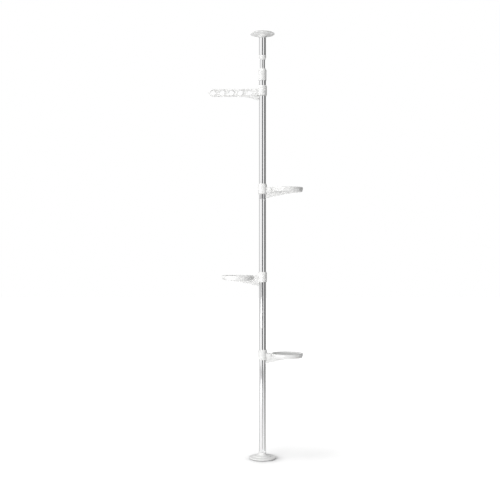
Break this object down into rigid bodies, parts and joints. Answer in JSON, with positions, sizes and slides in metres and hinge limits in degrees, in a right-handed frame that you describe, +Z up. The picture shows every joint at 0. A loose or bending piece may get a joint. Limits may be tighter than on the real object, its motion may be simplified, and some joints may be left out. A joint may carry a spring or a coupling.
{
  "type": "tension rod plant stand",
  "caption": "Floor to ceiling sprung pole with round folding trays and a folding arm with ring holes, all on wedge collars that slide and turn.",
  "frame": {"origin": "centre of the foot pad's face on the floor, on the pole's axis", "axes": "+Z up the pole to the ceiling, +X towards the side of the first and third trays"},
  "size_m": [0.5175, 0.171, 2.32],
  "materials": {
    "white_plastic": "moulded, smooth semi-gloss",
    "polished_steel": "polished stainless tube",
    "core_plastic": "moulded, matt",
    "rubber": "matt, fine texture",
    "screw_steel": "zinc plated",
    "spring_steel": "drawn wire"
  },
  "bodies": {
    "pole": {"foot_pad": "rubber", "foot_cover": "white_plastic", "foot_screw": "screw_steel", "foot_plug": "core_plastic", "lower_tube": "polished_steel", "lower_socket_insert": "core_plastic", "lower_stud_insert": "core_plastic", "middle_tube": "polished_steel", "upper_socket_insert": "core_plastic", "upper_stud_insert": "core_plastic", "upper_tube": "polished_steel", "lock_body": "core_plastic"},
    "lock_nut": {"lock_nut": "white_plastic"},
    "rod": {"rod_guide": "core_plastic", "inner_tube": "polished_steel", "rod_cap": "core_plastic", "tension_spring": "spring_steel"},
    "sleeve": {"sleeve_ring": "white_plastic", "spring_sleeve": "polished_steel", "ceiling_plug": "core_plastic", "ceiling_screw": "screw_steel", "ceiling_cover": "white_plastic", "ceiling_pad": "rubber"},
    "hang_clamp": {"hang_wedge_front": "core_plastic", "hang_wedge_back": "core_plastic"},
    "hang_collar": {"hang_collar": "white_plastic", "hang_pin": "white_plastic"},
    "hang_arm": {"hanging_arm": "white_plastic"},
    "tray_1_clamp": {"tray_1_wedge_front": "core_plastic", "tray_1_wedge_back": "core_plastic"},
    "tray_1_collar": {"tray_1_collar": "white_plastic", "tray_1_pin": "white_plastic"},
    "tray_1_arm": {"tray_1_arm": "white_plastic", "tray_1_dish": "white_plastic", "tray_1_screws": "screw_steel"},
    "tray_2_clamp": {"tray_2_wedge_front": "core_plastic", "tray_2_wedge_back": "core_plastic"},
    "tray_2_collar": {"tray_2_collar": "white_plastic", "tray_2_pin": "white_plastic"},
    "tray_2_arm": {"tray_2_arm": "white_plastic", "tray_2_dish": "white_plastic", "tray_2_screws": "screw_steel"},
    "tray_3_clamp": {"tray_3_wedge_front": "core_plastic", "tray_3_wedge_back": "core_plastic"},
    "tray_3_collar": {"tray_3_collar": "white_plastic", "tray_3_pin": "white_plastic"},
    "tray_3_arm": {"tray_3_arm": "white_plastic", "tray_3_dish": "white_plastic", "tray_3_screws": "screw_steel"}
  },
  "joints": [
    {"name": "lock_turn", "type": "hinge", "parent": "pole", "child": "lock_nut", "pos_m": [0, 0, 2.1136], "axis": [0, 0, 1], "range_deg": [0, 90]},
    {"name": "rod_extend", "type": "slide", "parent": "pole", "child": "rod", "axis": [0, 0, 1], "range_m": [-0.018, 0.24]},
    {"name": "sleeve_press", "type": "slide", "parent": "rod", "child": "sleeve", "axis": [0, 0, 1], "range_m": [-0.025, 0], "stiffness_N_per_m": 4000, "springref_m": 0.002, "deforming": ["tension_spring"]},
    {"name": "hang_slide", "type": "slide", "parent": "pole", "child": "hang_clamp", "axis": [0, 0, 1], "range_m": [-0.22, 0.022]},
    {"name": "hang_turn", "type": "hinge", "parent": "hang_clamp", "child": "hang_collar", "pos_m": [0, 0, 2.0142], "axis": [0, 0, 1], "continuous": true},
    {"name": "hang_fold", "type": "hinge", "parent": "hang_collar", "child": "hang_arm", "pos_m": [-0.037, 0, 2.0032], "axis": [0, 1, 0], "range_deg": [0, 90]},
    {"name": "tray_1_slide", "type": "slide", "parent": "pole", "child": "tray_1_clamp", "axis": [0, 0, 1], "range_m": [-0.19, 0.22]},
    {"name": "tray_1_turn", "type": "hinge", "parent": "tray_1_clamp", "child": "tray_1_collar", "pos_m": [0, 0, 1.478], "axis": [0, 0, 1], "continuous": true},
    {"name": "tray_1_fold", "type": "hinge", "parent": "tray_1_collar", "child": "tray_1_arm", "pos_m": [0.037, 0, 1.467], "axis": [0, -1, 0], "range_deg": [0, 90]},
    {"name": "tray_2_slide", "type": "slide", "parent": "pole", "child": "tray_2_clamp", "axis": [0, 0, 1], "range_m": [-0.19, 0.2]},
    {"name": "tray_2_turn", "type": "hinge", "parent": "tray_2_clamp", "child": "tray_2_collar", "pos_m": [0, 0, 0.998], "axis": [0, 0, 1], "continuous": true},
    {"name": "tray_2_fold", "type": "hinge", "parent": "tray_2_collar", "child": "tray_2_arm", "pos_m": [-0.037, 0, 0.987], "axis": [0, 1, 0], "range_deg": [0, 90]},
    {"name": "tray_3_slide", "type": "slide", "parent": "pole", "child": "tray_3_clamp", "axis": [0, 0, 1], "range_m": [-0.45, 0.15]},
    {"name": "tray_3_turn", "type": "hinge", "parent": "tray_3_clamp", "child": "tray_3_collar", "pos_m": [0, 0, 0.574], "axis": [0, 0, 1], "continuous": true},
    {"name": "tray_3_fold", "type": "hinge", "parent": "tray_3_collar", "child": "tray_3_arm", "pos_m": [0.037, 0, 0.563], "axis": [0, -1, 0], "range_deg": [0, 90]}
  ]
}
